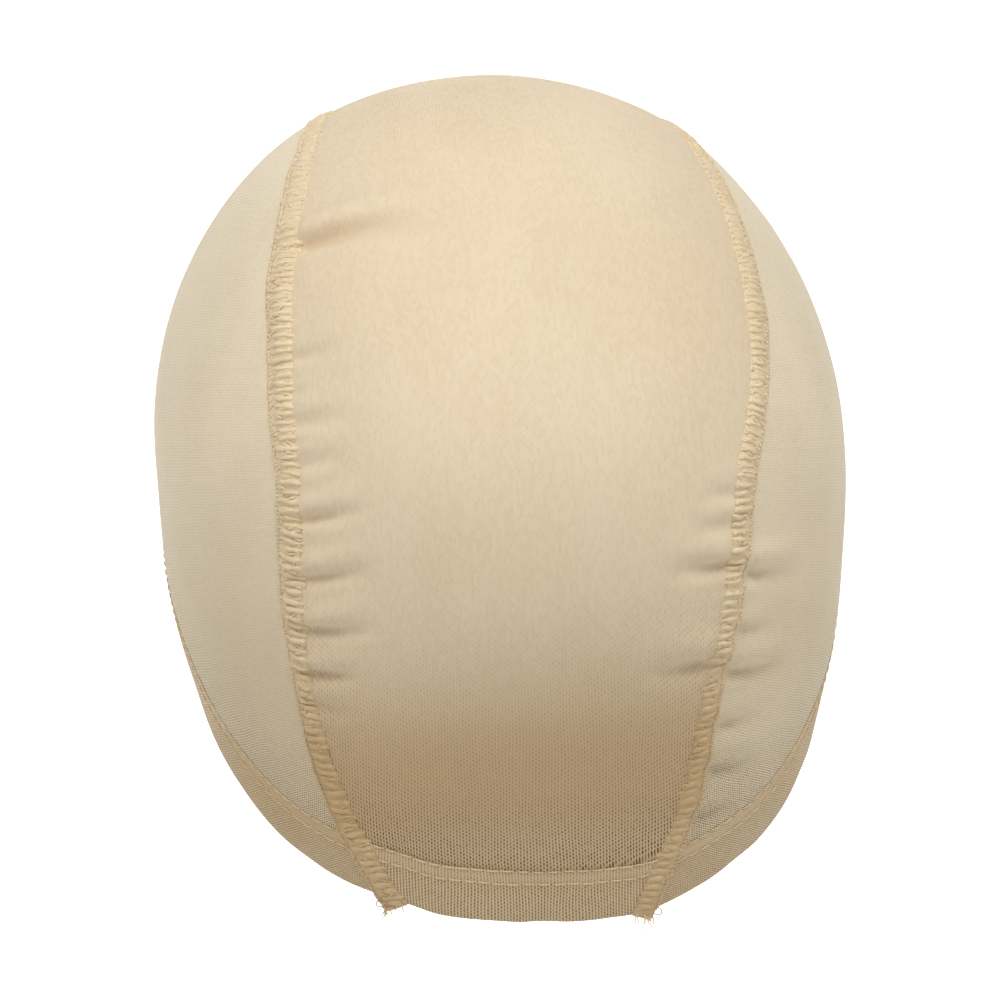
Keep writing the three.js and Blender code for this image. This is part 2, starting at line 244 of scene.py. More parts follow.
def _joint_line(side):
    """Points of one joint line, and the way out from it over the side panel."""
    station = np.linspace(2, 252, 2001)
    at = at_station(joint_x(side, station), station)
    out = unit(np.cross(np.gradient(at, axis=0), shell_normal(at)))
    out = np.where(out[:, :1] * side < 0, -out, out)
    return station, at, out


JOINT_LINE = {side: _joint_line(side) for side in (1, -1)}


def beside_joint(side, station, away):
    station, away = np.broadcast_arrays(np.asarray(station, float), np.asarray(away, float))
    stations, at, out = JOINT_LINE[side]
    read_off = lambda table: np.stack([np.interp(station, stations, table[:, k]) for k in range(3)], -1)
    return onto_shell(read_off(at) + unit(read_off(out)) * away[..., None])


def from_joint(side, p):
    """The station of the nearest point of a joint line, and how far off it is."""
    stations, at, _ = JOINT_LINE[side]
    stations, at = stations[::4], at[::4]
    flat = p.reshape(-1, 3)
    best = np.concatenate([np.argmin(((part[:, None] - at[None]) ** 2).sum(-1), axis=1) for part in np.array_split(flat, 40)])
    away = np.linalg.norm(flat - at[best], axis=-1)
    return stations[best].reshape(p.shape[:-1]), away.reshape(p.shape[:-1])


def end_station(line, depth, end, shape):
    def test(station):
        p = line(station)
        return p[..., 2] - rim_height(bearing_of(p), depth)
    if end == "back":
        return solve(test, np.full(shape, 200.0), np.full(shape, 247.0))
    return solve(test, np.full(shape, 70.0), np.full(shape, 6.0))


def end_bearing(side, depth, away, end):
    depth = np.asarray(depth, float)
    def test(bearing):
        p = rim_point(side * bearing, depth)
        return (joint_x(side, station_of(p)) - p[..., 0]) * side + away
    if end == "back":
        return solve(test, np.full(depth.shape, 60.0), np.full(depth.shape, 8.0))
    return solve(test, np.full(depth.shape, 110.0), np.full(depth.shape, 172.0))


# ------------------------------------------------------------------ noise
def smooth_noise(seed, size=97):
    """A smooth repeating field of values from -1 to 1, read at any points."""
    field = np.random.default_rng(seed).uniform(-1, 1, (size, size))
    def at(u, v):
        u, v = np.asarray(u, float) % size, np.asarray(v, float) % size
        i, j = np.floor(u).astype(int), np.floor(v).astype(int)
        a, b = u - i, v - j
        a, b = a * a * (3 - 2 * a), b * b * (3 - 2 * b)
        i1, j1 = (i + 1) % size, (j + 1) % size
        i, j = i % size, j % size
        return (field[i, j] * (1 - a) + field[i1, j] * a) * (1 - b) + (field[i, j1] * (1 - a) + field[i1, j1] * a) * b
    return at


broad = smooth_noise(11)
fine = smooth_noise(12)
wander = smooth_noise(13)


def bell(u):
    return np.where(np.abs(u) < 1, 0.5 + 0.5 * np.cos(np.pi * u), 0.0)


# Puckers at the seams: station along the joint, depth, half width and reach in mm, and
# how far each one slants as it runs away from the joint (degrees of station per mm).
FOLD_COLUMNS = ("panel", "seam", "station", "depth", "half", "reach", "slant")
FOLDS = [dict(zip(FOLD_COLUMNS, row)) for row in (
    ("center", "left", 140.4, 2.30, 3.5, 34, 0.10),
    ("center", "left", 161.0, 0.78, 2.4, 15, 0.00),
    ("center", "left", 171.0, 0.78, 2.4, 15, 0.00),
    ("center", "left", 177.0, 0.83, 2.4, 14, -0.05),
    ("center", "left", 185.2, 1.50, 2.1, 18, -0.08),
    ("center", "left", 194.0, 1.58, 2.2, 19, -0.12),
    ("center", "left", 202.0, 1.76, 2.4, 19, -0.12),
    ("center", "left", 208.8, 1.58, 2.1, 14, -0.12),
    ("center", "left", 214.0, 0.78, 2.2, 12, -0.08),
    ("center", "right", 184.5, 0.68, 2.3, 11, 0.00),
    ("center", "right", 189.0, 0.82, 2.3, 12, 0.00),
    ("center", "right", 194.8, 1.66, 2.6, 17, -0.06),
    ("center", "right", 208.4, 1.66, 2.8, 17, -0.06),
    ("side", "right", 195.6, 1.95, 2.9, 22, 0.05),
    ("side", "right", 203.6, 0.86, 2.1, 12, 0.05),
    ("side", "right", 209.6, 1.95, 3.0, 23, 0.06),
    ("side", "right", 217.6, 0.97, 2.3, 14, 0.05),
    ("side", "right", 223.6, 1.65, 2.7, 20, 0.05),
    ("side", "right", 229.4, 0.77, 2.1, 12, 0.00),
)]


def small_folds(panel, seam, seed, low, high, depth):
    """Small irregular puckers that fill in between the main ones."""
    r = np.random.default_rng(seed)
    station, made = low, []
    while station < high:
        made.append(dict(panel=panel, seam=seam, station=station, depth=depth * r.uniform(0.3, 1.0),
                         half=r.uniform(1.0, 1.9), reach=r.uniform(4.0, 8.5), slant=r.uniform(-0.12, 0.12)))
        station += r.uniform(2.2, 4.2)
    return made


FOLDS += small_folds("center", "left", 21, 112, 228, 0.30)
FOLDS += small_folds("center", "right", 22, 112, 228, 0.28)
FOLDS += small_folds("side", "right", 23, 150, 232, 0.24)
FOLDS += small_folds("side", "left", 24, 120, 230, 0.07)


def fold_lift(panel, seam, station, away):
    """Each pucker is a soft bulge of cloth that drops steeply into a narrow valley."""
    begin = ALLOWANCE_START + ALLOWANCE_WIDTH if panel == "side" else 0.0
    lift = np.zeros(np.broadcast(station, away).shape)
    for f in FOLDS:
        if f["panel"] != panel or f["seam"] != seam:
            continue
        run = (away - begin) / f["reach"]
        fade = np.where(run < 1, (1 - np.clip(run, 0, 1) ** 2) ** 1.4, 0.0)
        across = np.radians(station - f["station"] - f["slant"] * away) * -CENTRE[2]
        half = f["half"] * (1 + 0.45 * np.clip(run, 0, 1))
        lift -= f["depth"] * fade * bell(across / half)
        lift += 0.6 * f["depth"] * fade * bell((across + 1.55 * half) / (1.45 * half))
    return lift


BAND = ALLOWANCE_START + ALLOWANCE_WIDTH
JOINT_FOLLOWS = 0.55      # share of a pucker that is left right at the stiff joint
SIDE_FOLLOWS = 0.6        # and at the free edge of the allowance


def seam_drop(name, station, share):
    """How the joint and all that lies under the allowance follow the puckers beside them."""
    toward = JOINT_FOLLOWS * fold_lift("center", name, station, np.zeros_like(station))
    beyond = SIDE_FOLLOWS * fold_lift("side", name, station, np.full_like(station, BAND))
    return toward * (1 - share) ** 1.3 + beyond * share ** 1.5


# ------------------------------------------------------------------ mesh making
def new_piece(name, verts, faces, material, smooth=True, uv=None, attributes=None, flat_tail=0):
    mesh = bpy.data.meshes.new(name)
    verts = np.asarray(verts, float) * MM
    mesh.vertices.add(len(verts))
    mesh.vertices.foreach_set("co", verts.ravel())
    faces = np.asarray(faces, np.int32)
    mesh.loops.add(faces.size)
    mesh.loops.foreach_set("vertex_index", faces.ravel())
    mesh.polygons.add(len(faces))
    mesh.polygons.foreach_set("loop_start", np.arange(0, faces.size, faces.shape[1], dtype=np.int32))
    mesh.polygons.foreach_set("loop_total", np.full(len(faces), faces.shape[1], np.int32))
    mesh.update(calc_edges=True)
    if uv is not None:
        layer = mesh.uv_layers.new(name="net")
        layer.data.foreach_set("uv", np.asarray(uv, float)[faces.ravel()].ravel())
    for key, values in (attributes or {}).items():
        data = mesh.attributes.new(key, "FLOAT", "POINT")
        data.data.foreach_set("value", np.asarray(values, float))
    shade_smooth = np.full(len(faces), smooth)
    if flat_tail:
        shade_smooth[-flat_tail:] = False
    mesh.polygons.foreach_set("use_smooth", shade_smooth)
    mesh.materials.append(material)
    mesh.validate()
    obj = bpy.data.objects.new(name, mesh)
    bpy.context.scene.collection.objects.link(obj)
    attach(obj, "root")
    return obj


def wall_faces(rows, columns, flip):
    """Quads of a closed wall: two layers of a grid and the rims between them."""
    grid = np.arange(rows * columns).reshape(rows, columns)
    a, b, c, d = grid[:-1, :-1], grid[:-1, 1:], grid[1:, 1:], grid[1:, :-1]
    top = np.stack([a, b, c, d], -1).reshape(-1, 4)
    low = np.stack([a, d, c, b], -1).reshape(-1, 4) + rows * columns
    n = rows * columns
    ring = np.concatenate([grid[0, :-1], grid[:-1, -1], grid[-1, :0:-1], grid[:0:-1, 0]])
    nxt = np.roll(ring, -1)
    rim = np.stack([ring, ring + n, nxt + n, nxt], -1)
    faces = np.concatenate([top, low, rim])
    return faces[:, ::-1] if flip else faces


def rim_count(shape):
    return 2 * (shape[0] + shape[1]) - 4


def face_out(points):
    """Whether the first layer of a grid has to be turned over to face outwards."""
    i, j = points.shape[0] // 2, points.shape[1] // 2
    n = np.cross(points[i, j + 1] - points[i, j], points[i + 1, j] - points[i, j])
    return float(np.dot(n, points[i, j] - CENTRE)) < 0


def cloth(name, points, normals, top, bottom, uv, attributes, material):
    outer = points + normals * top[..., None]
    inner = points + normals * bottom[..., None]
    verts = np.concatenate([outer.reshape(-1, 3), inner.reshape(-1, 3)])
    uvs = np.concatenate([uv.reshape(-1, 2)] * 2)
    attrs = {k: np.concatenate([v.ravel()] * 2) for k, v in attributes.items()}
    faces = wall_faces(points.shape[0], points.shape[1], face_out(points))
    return new_piece(name, verts, faces, material, uv=uvs, attributes=attrs, flat_tail=rim_count(points.shape))


def arc_lengths(points, axis):
    step = np.linalg.norm(np.diff(points, axis=axis), axis=-1)
    pad = [(0, 0), (0, 0)]
    pad[axis] = (1, 0)
    return np.pad(np.cumsum(step, axis=axis), pad)


def tubes(name, paths, radii, sides, material, tones=None):
    """Round threads along many short paths, joined into one mesh."""
    verts, faces, tone, start = [], [], [], 0
    turn = np.linspace(0, 2 * np.pi, sides, endpoint=False)
    tones = rng.uniform(0, 1, len(paths)) if tones is None else tones
    for path, radius, shade in zip(paths, radii, tones):
        path = np.asarray(path, float)
        n = len(path)
        tangent = unit(np.gradient(path, axis=0))
        ref = unit(np.mean(path, axis=0) - CENTRE)
        side = unit(np.cross(tangent, ref))
        rise = np.cross(side, tangent)
        r = np.broadcast_to(np.asarray(radius, float), (n,))[:, None, None]
        ring = path[:, None] + r * (np.cos(turn)[None, :, None] * side[:, None] + np.sin(turn)[None, :, None] * rise[:, None])
        verts.append(ring.reshape(-1, 3))
        verts.append(path[[0, -1]])
        k = np.arange(sides)
        k1 = (k + 1) % sides
        for i in range(n - 1):
            a = start + i * sides
            faces.append(np.stack([a + k, a + k1, a + sides + k1, a + sides + k], -1))
        cap = start + n * sides
        last = start + (n - 1) * sides
        faces.append(np.stack([start + k1, start + k, np.full(sides, cap), np.full(sides, cap)], -1))
        faces.append(np.stack([last + k, last + k1, np.full(sides, cap + 1), np.full(sides, cap + 1)], -1))
        start += n * sides + 2
        tone.append(np.full(n * sides + 2, shade))
    verts, faces = np.concatenate(verts), np.concatenate(faces)
    tri = faces[:, 2] == faces[:, 3]
    quads = faces[~tri]
    tris = faces[tri][:, :3]
    split = np.concatenate([quads[:, [0, 1, 2]], quads[:, [0, 2, 3]], tris])
    # each thread carries the painted shade of where it lies
    return new_piece(name, verts, split, material, attributes={"tone": np.concatenate(tone), "painted_shade": painted_shade(verts)})


# ------------------------------------------------------------------ materials
def node(tree, kind, **settings):
    n = tree.nodes.new(kind)
    for key, value in settings.items():
        if key == "inputs":
            for socket, v in value.items():
                if isinstance(v, bpy.types.NodeSocket):
                    tree.links.new(v, n.inputs[socket])
                else:
                    n.inputs[socket].default_value = v
        else:
            setattr(n, key, value)
    return n


def math_node(tree, op, *values, clamp=False):
    n = tree.nodes.new("ShaderNodeMath")
    n.operation = op
    n.use_clamp = clamp
    for i, v in enumerate(values):
        if isinstance(v, bpy.types.NodeSocket):
            tree.links.new(v, n.inputs[i])
        else:
            n.inputs[i].default_value = v
    return n.outputs[0]


def mix_color(tree, factor, a, b):
    n = tree.nodes.new("ShaderNodeMix")
    n.data_type = "RGBA"
    sockets = [s for s in n.inputs if s.type == "RGBA"]
    for socket, v in ((n.inputs[0], factor), (sockets[0], a), (sockets[1], b)):
        if isinstance(v, bpy.types.NodeSocket):
            tree.links.new(v, socket)
        else:
            socket.default_value = v
    return [s for s in n.outputs if s.type == "RGBA"][0]


def srgb(r, g, b):
    lin = lambda c: c / 12.92 if c <= 0.04045 else ((c + 0.055) / 1.055) ** 2.4
    return (lin(r / 255), lin(g / 255), lin(b / 255), 1.0)


WALE, COURSE = 0.67, 0.74


def net_material(name, yarn, shade, hole, wale=WALE, course=COURSE, density=1.0, bump=0.35, groove=0.03, tall=1.0):
    """Fine knitted net: columns of small holes, each column half a step from the next."""
    m = bpy.data.materials.new(name)
    m.use_nodes = True
    t = m.node_tree
    bsdf = t.nodes["Principled BSDF"]
    uv = node(t, "ShaderNodeUVMap", uv_map="net").outputs[0]
    sep = node(t, "ShaderNodeSeparateXYZ", inputs={0: uv})
    u, v = sep.outputs[0], sep.outputs[1]
    drift = node(t, "ShaderNodeTexNoise", noise_dimensions="2D", inputs={"Vector": uv, "Scale": 0.07, "Detail": 1.0})
    drift_c = node(t, "ShaderNodeSeparateColor", inputs={0: drift.outputs["Color"]})
    du = math_node(t, "MULTIPLY", math_node(t, "SUBTRACT", drift_c.outputs[0], 0.5), 1.0)
    dv = math_node(t, "MULTIPLY", math_node(t, "SUBTRACT", drift_c.outputs[1], 0.5), 1.0)
    uu = math_node(t, "DIVIDE", math_node(t, "ADD", u, du), wale)
    vv = math_node(t, "DIVIDE", math_node(t, "ADD", v, dv), course)
    column = math_node(t, "FLOOR", uu)
    streak = node(t, "ShaderNodeTexWhiteNoise", noise_dimensions="1D", inputs={"W": column}).outputs["Value"]
    fu = math_node(t, "SUBTRACT", math_node(t, "FRACT", uu), 0.5)
    stagger = math_node(t, "MULTIPLY", math_node(t, "FLOORED_MODULO", column, 2.0), 0.5)
    stagger = math_node(t, "ADD", stagger, math_node(t, "MULTIPLY", streak, 0.06))
    along = math_node(t, "ADD", vv, stagger)
    fv = math_node(t, "SUBTRACT", math_node(t, "FRACT", along), 0.5)
    cell = node(t, "ShaderNodeCombineXYZ", inputs={0: column, 1: math_node(t, "FLOOR", along), 2: 0.0})
    stitch = node(t, "ShaderNodeTexWhiteNoise", noise_dimensions="2D", inputs={"Vector": cell.outputs[0]}).outputs["Value"]
    opening = node(t, "ShaderNodeAttribute", attribute_name="open").outputs["Fac"]
    # Holes grow with how far the net is pulled open here.
    width = math_node(t, "MULTIPLY_ADD", opening, 0.12, 0.21)
    height = math_node(t, "MULTIPLY_ADD", opening, 0.24 * tall, 0.20 * tall)
    ru = math_node(t, "DIVIDE", fu, width)
    rv = math_node(t, "DIVIDE", fv, height)
    r = math_node(t, "SQRT", math_node(t, "ADD", math_node(t, "MULTIPLY", ru, ru), math_node(t, "MULTIPLY", rv, rv)))
    hole_mask = node(t, "ShaderNodeMapRange", interpolation_type="SMOOTHSTEP",
                     inputs={"Value": r, "From Min": 1.3, "From Max": 0.5, "To Min": 0.0, "To Max": 1.0}).outputs[0]
    # Ribs of yarn run between the columns of holes.
    trough = math_node(t, "MULTIPLY_ADD", math_node(t, "COSINE", math_node(t, "MULTIPLY", fu, 2 * math.pi)), 0.5, 0.5)
    # Slow patches of warmer, cooler and darker yarn, and tiny differences between stitches.
    patch = node(t, "ShaderNodeTexNoise", noise_dimensions="2D", inputs={"Vector": uv, "Scale": 0.035, "Detail": 2.0})
    patch_c = node(t, "ShaderNodeSeparateColor", inputs={0: patch.outputs["Color"]})
    warm = (min(yarn[0] * 1.01, 1), yarn[1] * 0.995, yarn[2] * 0.985, 1)
    cool = (yarn[0] * 0.99, yarn[1] * 1.0, yarn[2] * 0.995, 1)
    base = mix_color(t, node(t, "ShaderNodeMapRange", inputs={"Value": patch_c.outputs[0], "From Min": 0.35, "From Max": 0.65}).outputs[0], warm, cool)
    tone = math_node(t, "MULTIPLY_ADD", patch_c.outputs[1], 0.36, -0.10)
    tone = math_node(t, "ADD", tone, math_node(t, "MULTIPLY", math_node(t, "SUBTRACT", streak, 0.5), 0.03))
    tone = math_node(t, "ADD", tone, math_node(t, "MULTIPLY", math_node(t, "SUBTRACT", stitch, 0.5), 0.16), clamp=True)
    color = mix_color(t, tone, base, shade)
    # Painted shade: the colour is mixed towards the darker colour by the per-point painted shade amount.
    painted_shade_factor = node(t, "ShaderNodeAttribute", attribute_name="painted_shade").outputs["Fac"]
    color = mix_color(t, painted_shade_factor, color, shade)
    # Painted shade in the troughs between the ribs: the colour is mixed towards the hole colour there.
    line = math_node(t, "MULTIPLY", trough, math_node(t, "MULTIPLY_ADD", opening, 0.16, groove), clamp=True)
    color = mix_color(t, line, color, hole)
    # The holes are painted in the dark hole colour, as painted shade for the inside seen through the open net.
    strength = math_node(t, "MULTIPLY", hole_mask, math_node(t, "MULTIPLY_ADD", opening, 0.88 * density, 0.02 * density), clamp=True)
    strength = math_node(t, "MULTIPLY", strength, math_node(t, "MULTIPLY_ADD", stitch, 0.5, 0.75), clamp=True)
    color = mix_color(t, strength, color, hole)
    t.links.new(color, bsdf.inputs["Base Color"])
    relief = math_node(t, "ADD", math_node(t, "MULTIPLY", trough, -0.15), math_node(t, "MULTIPLY", hole_mask, math_node(t, "MULTIPLY_ADD", opening, -0.9, -0.10)))
    b = node(t, "ShaderNodeBump", inputs={"Strength": bump, "Distance": 0.00018, "Height": relief})
    t.links.new(b.outputs[0], bsdf.inputs["Normal"])
    rough = math_node(t, "MULTIPLY_ADD", stitch, 0.12, 0.68)
    t.links.new(rough, bsdf.inputs["Roughness"])
    bsdf.inputs["Sheen Weight"].default_value = 0.10
    bsdf.inputs["Sheen Roughness"].default_value = 0.45
    bsdf.inputs["Sheen Tint"].default_value = srgb(250, 244, 232)
    bsdf.inputs["Specular IOR Level"].default_value = 0.3
    return m


def thread_material(name, pale, deep, low):
    """Spun sewing thread: fine twist lines round the strand."""
    m = bpy.data.materials.new(name)
    m.use_nodes = True
    t = m.node_tree
    bsdf = t.nodes["Principled BSDF"]
    place = node(t, "ShaderNodeTexCoord").outputs["Object"]
    noise = node(t, "ShaderNodeTexNoise", inputs={"Vector": place, "Scale": 900.0, "Detail": 3.0}).outputs[0]
    twist = node(t, "ShaderNodeTexWave", wave_type="BANDS", bands_direction="DIAGONAL",
                 inputs={"Vector": place, "Scale": 1400.0, "Distortion": 3.0, "Detail": 1.0}).outputs["Fac"]
    tone = node(t, "ShaderNodeAttribute", attribute_name="tone").outputs["Fac"]
    color = mix_color(t, math_node(t, "MULTIPLY_ADD", noise, 0.4, math_node(t, "MULTIPLY", tone, 0.5)), pale, deep)
    color = mix_color(t, math_node(t, "MULTIPLY", twist, 0.3), color, deep)
    # Painted shade: threads low on the cap are mixed towards the low colour by the per-point painted shade amount.
    color = mix_color(t, node(t, "ShaderNodeAttribute", attribute_name="painted_shade").outputs["Fac"], color, low)
    t.links.new(color, bsdf.inputs["Base Color"])
    b = node(t, "ShaderNodeBump", inputs={"Strength": 0.4, "Distance": 0.0001, "Height": twist})
    t.links.new(b.outputs[0], bsdf.inputs["Normal"])
    t.links.new(math_node(t, "MULTIPLY_ADD", noise, 0.2, 0.5), bsdf.inputs["Roughness"])
    bsdf.inputs["Sheen Weight"].default_value = 0.15
    bsdf.inputs["Sheen Tint"].default_value = srgb(252, 246, 232)
    bsdf.inputs["Specular IOR Level"].default_value = 0.35
    return m


# Each net's second colour is both the darker tone of random patches and the painted shade colour; its third colour is
# painted shade for the holes and the troughs between ribs.
NET = net_material("net_center", srgb(234, 217, 189), srgb(196, 168, 127), srgb(100, 70, 36), groove=0.005)
# The side nets' yarn is painted lighter than the centre's: painted light for the sides of the cap, which the lights
# reach less.
NET_SIDE = net_material("net_side", srgb(248, 234, 206), srgb(200, 180, 144), srgb(104, 78, 44), wale=0.66, course=0.72, groove=0.09, tall=0.8)
NET_HEM = net_material("net_hem", srgb(236, 219, 188), srgb(210, 184, 143), srgb(104, 76, 42), density=0.85, groove=0.17)
NET_ALLOWANCE = net_material("net_allowance", srgb(242, 225, 194), srgb(198, 168, 122), srgb(150, 120, 80), wale=0.62, course=0.66, density=0.3, groove=0.03)
# Each thread's last colour is painted shade for threads low on the cap.
THREAD = thread_material("overlock_thread", srgb(246, 230, 199), srgb(226, 203, 162), srgb(200, 170, 124))
STITCH = thread_material("hem_thread", srgb(240, 224, 190), srgb(212, 188, 144), srgb(222, 198, 152))

# ------------------------------------------------------------------ panels
LAYER = 0.45            # thickness of the net
FULL = 1


def drawn(z):
    """How many courses of the net lie on each millimetre, against the plain net."""
    return COURSE / np.interp(-z, (40, 84, 126, 151, 163), (1.30, 1.42, 1.18, 1.0, 0.86))


def openness(p, nape=0.58, rim=0.28):
    """How far the net is pulled open: most where it turns in to the nape and hems."""
    low = np.clip((-110 - p[..., 2]) / 60, 0, 1)
    near_rim = np.clip(1 - (rim_depth(p) - HEM_DEPTH) / 20, 0, 1)
    patch = 0.5 + 0.5 * broad(p[..., 0] / 17 + 40, p[..., 2] / 17 + 40)
    crown = np.clip((p[..., 2] + 36) / 22, 0, 1) * np.clip(0.5 + 0.5 * broad(p[..., 0] / 19 + 7, p[..., 1] / 19 + 21), 0, 1)
    crown = crown * (0.45 + 0.75 * np.clip((p[..., 0] - 4) / 22, 0, 1))
    return np.clip(nape * low ** 1.3 + rim * near_rim + 0.04 * patch + 0.27 * crown, 0, 1)


# Painted shade: how far a point's colour is mixed towards the darker colour, by where it lies. It grows low on the
# back and most at the nape, where the light from above falls off.
def painted_shade(p, nape=0.5, back=0.22):
    low = np.clip((-70 - p[..., 2]) / 60, 0, 1)
    turn = np.clip((-117 - p[..., 2]) / 33, 0, 1)
    # Painted shade where the key light is strongest on the upper back, a painted lighter patch low on the wearer's
    # right, and painted shade lower down on the wearer's left.
    top = 0.09 * np.exp(-((p[..., 2] + 44) / 28) ** 2)
    top = top - 0.26 * np.clip((-p[..., 0] - 27) / 22, 0, 1) * np.clip((-122 - p[..., 2]) / 22, 0, 1)
    top = top + 0.10 * np.clip((p[..., 0] - 40) / 20, 0, 1) * np.exp(-((p[..., 2] + 112) / 22) ** 2)
    return np.clip(0.04 + top + back * low + nape * turn * turn * (3 - 2 * turn) * np.interp(-p[..., 2], (130, 140, 158, 166), (1.15, 1.38, 1.3, 0.92)), 0, 1)


def joint_dip(away):
    """The joint stitches pull the cloth down into a shallow ditch."""
    return -0.06 * np.exp(-np.maximum(away, 0) / 0.9)


def row_dip(p):
    """Where a panel meets its hem, the upper row of stitches pulls it down."""
    return -0.06 * np.exp(-np.maximum(rim_depth(p) - HEM_DEPTH, 0) / 0.8)


def center_panel():
    rows, cols = 330 // FULL, 92 // FULL
    ease = np.linspace(0, 1, cols)
    f = ease - 0.035 * np.sin(2 * np.pi * ease)           # closer columns near the joints
    f = -0.009 + 1.018 * f                                # and a little way on under the seams
    cross = lambda station: joint_x(-1, station) + (joint_x(1, station) - joint_x(-1, station)) * f
    line = lambda station: at_station(cross(station), station)
    front = end_station(line, HEM_DEPTH, "front", f.shape)
    back = end_station(line, HEM_DEPTH, "back", f.shape)
    mid_front, mid_back = front[cols // 2], back[cols // 2]
    s = np.linspace(mid_front, mid_back, rows)[:, None]
    station = np.where(s < 40, 40 + (front - 40) * (40 - s) / (40 - mid_front), s)
    station = np.where(s > 216, 216 + (back - 216) * (s - 216) / (mid_back - 216), station)
    x = joint_x(-1, station) + (joint_x(1, station) - joint_x(-1, station)) * f[None]
    p = at_station(x, station)
    n = shell_normal(p)
    along = arc_lengths(p, 1)
    zero = np.array([np.interp(0.0, x[i], along[i]) for i in range(rows)])
    joint_at = np.array([[np.interp(joint_x(k, station[i, cols // 2]), x[i], along[i]) for k in (-1, 1)] for i in range(rows)])
    from_right, from_left = along - joint_at[:, :1], joint_at[:, 1:] - along
    middle = at_station(np.zeros((rows, 1)), s)
    step = np.linalg.norm(np.diff(middle, axis=0), axis=-1) * drawn((middle[1:, :, 2] + middle[:-1, :, 2]) / 2)
    spine = np.concatenate([[0], np.cumsum(step[:, 0])])
    spine_at = lambda st: np.interp(st, s[:, 0], spine)
    course = np.linalg.norm(np.diff(p, axis=0), axis=-1) * drawn((p[1:, :, 2] + p[:-1, :, 2]) / 2)
    course = np.concatenate([np.zeros((1, cols)), np.cumsum(course, axis=0)])
    top = int(np.argmin(np.abs(s[:, 0] - 120)))
    course = 0.5 * (course - course[top] + spine_at(s[top, 0])) + 0.5 * spine_at(station)
    uv = np.stack([along - zero[:, None], course], -1)
    frees = lambda away: JOINT_FOLLOWS + (1 - JOINT_FOLLOWS) * np.clip(away / 1.8, 0, 1)
    lift = fold_lift("center", "left", station, from_left) * frees(from_left)
    lift += fold_lift("center", "right", station, from_right) * frees(from_right)
    lift += joint_dip(from_left) + joint_dip(from_right)
    lift -= 0.30 * np.clip(-np.minimum(from_left, from_right) - 0.3, 0, 1)
    lift += 0.12 * broad(uv[..., 0] / 21, uv[..., 1] / 26) + 0.05 * fine(uv[..., 0] / 8, uv[..., 1] / 9) + row_dip(p)
    # Painted shade in the valley of the longest pucker, added to the painted shade of the net.
    run = np.clip(from_left / 34, 0, 1)                   # the longest pucker shades the net
    painted_crease_shade = (1 - run ** 2) ** 1.4 * bell(np.radians(station - 139.9 - 0.10 * from_left) * -CENTRE[2] / (3.9 * (1 + 0.45 * run)))
    pulled = 0.15 * np.exp(-np.maximum(np.minimum(from_left, from_right), 0) / 13) * np.clip((-96 - p[..., 2]) / 25, 0, 1)
    return cloth("center_panel_net", p, n, lift, lift - LAYER, uv, {"open": np.clip(openness(p) + pulled, 0, 1), "painted_shade": np.clip(painted_shade(p) + 0.30 * painted_crease_shade, 0, 1)}, NET)


def flat_side(p, side):
    """Where a point of a side panel lies on the flat net, whose wales run front to back."""
    d = unit(p - CENTRE)
    angle = np.arccos(np.clip(d[..., 0] * side, -1, 1))
    turn = np.arctan2(d[..., 2], d[..., 1])
    reach = np.linalg.norm(p - CENTRE, axis=-1) * angle
    return np.stack([reach * np.sin(turn), reach * np.cos(turn)], -1)


def side_panel(side):
    name = "left" if side > 0 else "right"
    rows, cols = 330 // FULL, 90 // FULL
    joint = lambda station: beside_joint(side, station, 0.0)
    front, back = (float(end_station(joint, HEM_DEPTH, e, (1,))[0]) for e in ("front", "back"))
    rim_front, rim_back = (float(end_bearing(side, np.array([HEM_DEPTH]), 0.0, e)[0]) for e in ("front", "back"))
    s = np.linspace(0.003, 0.997, rows)
    station = front + (back - front) * s
    top = joint(station)
    bottom = rim_point(side * (rim_front + (rim_back - rim_front) * s), HEM_DEPTH)
    t = np.linspace(0, 1, cols)
    t = t - 0.06 * np.sin(2 * np.pi * t)
    p = onto_shell(top[:, None] * (1 - t)[None, :, None] + bottom[:, None] * t[None, :, None])
    n = shell_normal(p)
    st, away_ = from_joint(side, p)
    frees = SIDE_FOLLOWS + (1 - SIDE_FOLLOWS) * np.clip((away_ - BAND) / 2.5, 0, 1)
    lift = np.where(away_ < BAND, seam_drop(name, st, np.clip(away_ / BAND, 0, 1)), fold_lift("side", name, st, away_) * frees)
    lift = lift * np.clip((rim_depth(p) - HEM_DEPTH) / 3, 0.25, 1) + joint_dip(away_)
    under = np.clip((3.6 - away_) / 2.2, 0, 1)            # pressed down below the allowance
    lift -= 0.5 * under * under * (3 - 2 * under)
    uv = flat_side(p, side)
    lift += 0.11 * broad(uv[..., 0] / 23 + 9, uv[..., 1] / 21 + 30 * side) + 0.04 * fine(uv[..., 0] / 8, uv[..., 1] / 9) + row_dip(p)
    # The side panels carry painted shade too, more of it low on the back and little at the nape.
    return cloth(f"side_panel_{name}_net", p, n, lift, lift - LAYER, uv, {"open": openness(p, 0.88, 0.30), "painted_shade": painted_shade(p, 0.05, 0.47)}, NET_SIDE)


center = center_panel()
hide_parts("center_panel")
sides = {side: side_panel(side) for side in (1, -1)}
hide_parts("side_panel_left")
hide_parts("side_panel_right")

# ------------------------------------------------------------------ hems
def hem_profile(depth_steps=15):
    """Section of the turned-under hem, as (depth from the free edge, lift): up the
    outside, round the fold at the free edge and back up the inside to the raw edge."""
    outside = [(d, 0.0) for d in np.linspace(HEM_DEPTH, 0.9, depth_steps)]
    fold = [(0.45 - 0.62 * math.sin(a), -0.62 + 0.62 * math.cos(a)) for a in np.linspace(0.2, math.pi - 0.2, 7)]
    inside = [(d, -1.24) for d in np.linspace(0.9, HEM_DEPTH + 1.6, depth_steps)]
    return np.array(outside + fold + inside)


